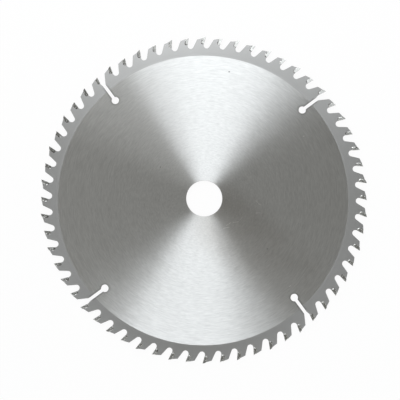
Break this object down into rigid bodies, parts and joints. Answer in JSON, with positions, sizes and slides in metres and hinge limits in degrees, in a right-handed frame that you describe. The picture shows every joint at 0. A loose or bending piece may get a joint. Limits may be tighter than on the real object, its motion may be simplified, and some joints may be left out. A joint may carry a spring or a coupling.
{
  "type": "circular saw blade",
  "caption": "Flat circular saw blade: a steel plate with a plain arbor bore, round-ended expansion slots and carbide tips with alternate bevels brazed to its teeth, for cutting wood.",
  "frame": {"origin": "centre of the arbor bore, in the mid plane of the plate", "axes": "+Z along the arbor axis, out of the face that the picture shows; +X through the cutting edge of a tooth whose gullet has an expansion slot; seen from +Z the teeth cut clockwise"},
  "size_m": [0.23, 0.23, 0.0028],
  "materials": {
    "plate": "brushed in circles round the bore, with a matt blasted rim under the teeth",
    "tip": "ground tungsten carbide, dull dark grey"
  },
  "bodies": {
    "root": {"plate": "plate", "tip_pair_01": "tip", "tip_pair_02": "tip", "tip_pair_03": "tip", "tip_pair_04": "tip", "tip_pair_05": "tip", "tip_pair_06": "tip", "tip_pair_07": "tip", "tip_pair_08": "tip", "tip_pair_09": "tip", "tip_pair_10": "tip", "tip_pair_11": "tip", "tip_pair_12": "tip", "tip_pair_13": "tip", "tip_pair_14": "tip", "tip_pair_15": "tip", "tip_pair_16": "tip", "tip_pair_17": "tip", "tip_pair_18": "tip", "tip_pair_19": "tip", "tip_pair_20": "tip", "tip_pair_21": "tip", "tip_pair_22": "tip", "tip_pair_23": "tip", "tip_pair_24": "tip", "tip_pair_25": "tip", "tip_pair_26": "tip", "tip_pair_27": "tip", "tip_pair_28": "tip", "tip_pair_29": "tip", "tip_pair_30": "tip"}
  },
  "joints": []
}
